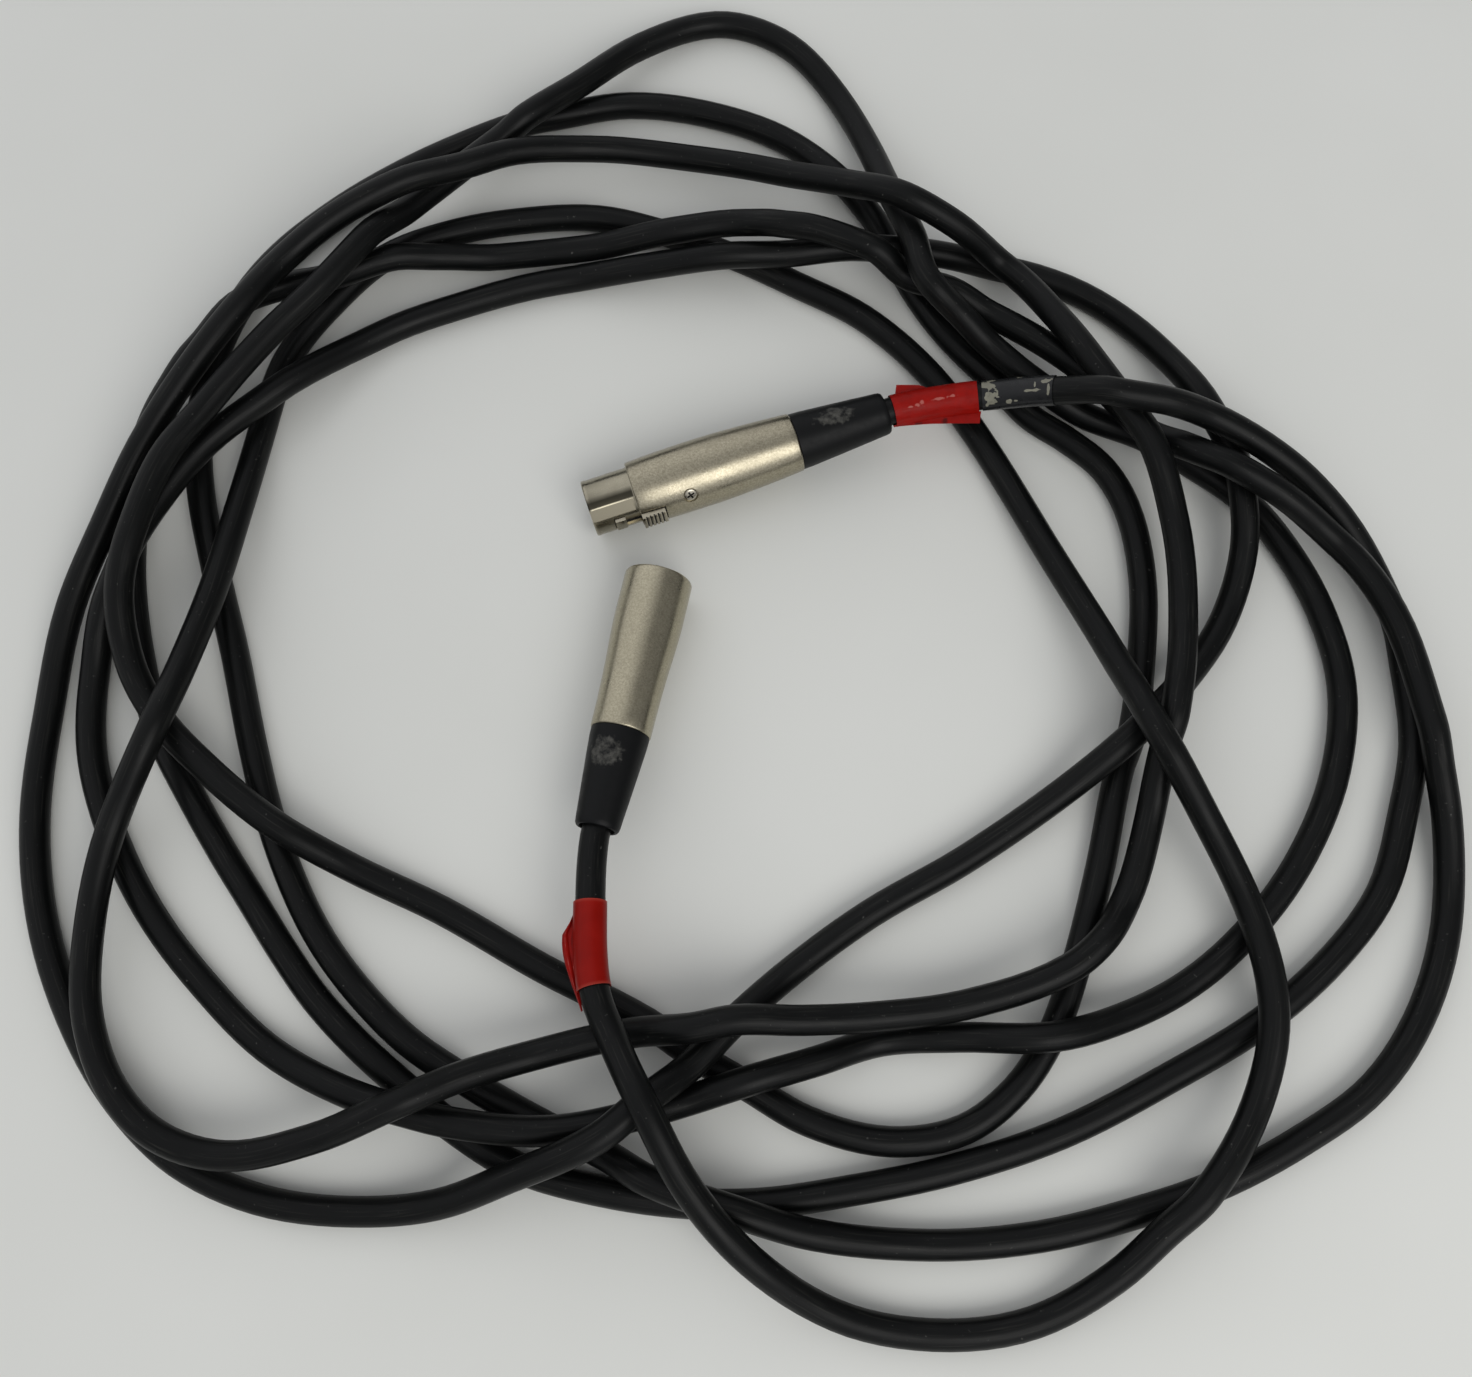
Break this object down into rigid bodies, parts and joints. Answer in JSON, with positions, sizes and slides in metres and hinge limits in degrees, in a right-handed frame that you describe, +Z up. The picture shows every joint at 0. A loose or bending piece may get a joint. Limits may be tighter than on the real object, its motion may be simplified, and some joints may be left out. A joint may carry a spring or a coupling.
{
  "type": "xlr cable coil",
  "caption": "Microphone cable laid in a loose coil, with a female and a male three-pole cable connector, rubber boots, red tape bands and a clear label sleeve.",
  "frame": {"origin": "bottom centre of the coil, on the surface it lies on", "axes": "+Z up; +Y towards the top of the coil as seen by the viewer; +X to the right"},
  "size_m": [0.3878, 0.3878, 0.0343],
  "materials": {
    "shell_nickel": "satin nickel plate on die-cast zinc",
    "insert_plastic": "moulded, matte",
    "contact_brass": "turned, plated",
    "pin_silver": "silver plated",
    "screw_steel": "nickel plated",
    "spring_steel": "bright",
    "latch_metal": "satin nickel plate",
    "clamp_plastic": "moulded",
    "boot_rubber": "satin black soft plastic with worn smudges",
    "lead_insulation": "smooth",
    "jacket_rubber": "matte black with a soft sheen",
    "tape_red": "satin vinyl tape",
    "label_film": "clear film over a worn bare label"
  },
  "bodies": {
    "lead": {"female_shell": "shell_nickel", "female_insert": "insert_plastic", "female_contacts": "contact_brass", "female_insert_screw": "screw_steel", "female_cable_clamp": "clamp_plastic", "female_boot": "boot_rubber", "female_leads": "lead_insulation", "latch_pin": "screw_steel", "latch_spring": "spring_steel", "male_shell": "shell_nickel", "male_insert": "insert_plastic", "male_pins": "pin_silver", "male_insert_screw": "screw_steel", "male_cable_clamp": "clamp_plastic", "male_boot": "boot_rubber", "male_leads": "lead_insulation", "cable": "jacket_rubber", "female_tape": "tape_red", "label_sleeve": "label_film", "male_tape": "tape_red"},
    "latch": {"latch_lever": "latch_metal"}
  },
  "joints": [
    {"name": "latch_press", "type": "hinge", "parent": "lead", "child": "latch", "pos_m": [-0.01788, 0.02912, 0.01119], "axis": [0.1231, -0.2144, -0.969], "range_deg": [0, 4], "stiffness_Nm_per_rad": 0.4, "springref_deg": -2.86, "deforming": ["latch_spring"]}
  ]
}
